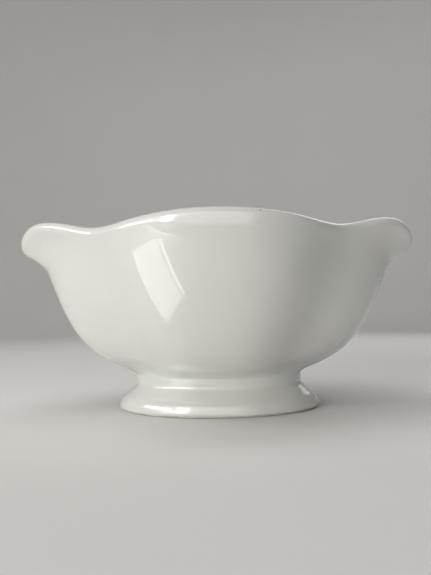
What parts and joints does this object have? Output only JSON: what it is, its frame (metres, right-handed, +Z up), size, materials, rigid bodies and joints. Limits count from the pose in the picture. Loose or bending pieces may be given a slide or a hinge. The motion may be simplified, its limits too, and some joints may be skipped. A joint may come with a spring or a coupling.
{
  "type": "gravy boat",
  "caption": "White porcelain gravy boat: a bulged oval bowl with a pouring lip at each end and a rolled rim, on a flared oval pedestal foot, glazed inside and out",
  "frame": {"origin": "On the table under the middle of the foot: the bottom centre of the part's box", "axes": "+Z is up, out of the bowl. X runs lengthwise through the two pouring lips, and Y across the two bulges."},
  "size_m": [0.1982, 0.1116, 0.0894],
  "materials": {
    "bowl_porcelain": "fired white porcelain body, under the glaze",
    "foot_porcelain": "fired white porcelain body, bare and matt on the ground standing ring",
    "slip": "fired porcelain slip",
    "glaze": "smooth glossy white glaze, slightly cool, gathered a little in the neck"
  },
  "bodies": {
    "root": {"bowl": "bowl_porcelain", "pedestal_foot": "foot_porcelain", "luting_slip": "slip", "glaze_coat": "glaze", "recess_glaze": "glaze"}
  },
  "joints": []
}
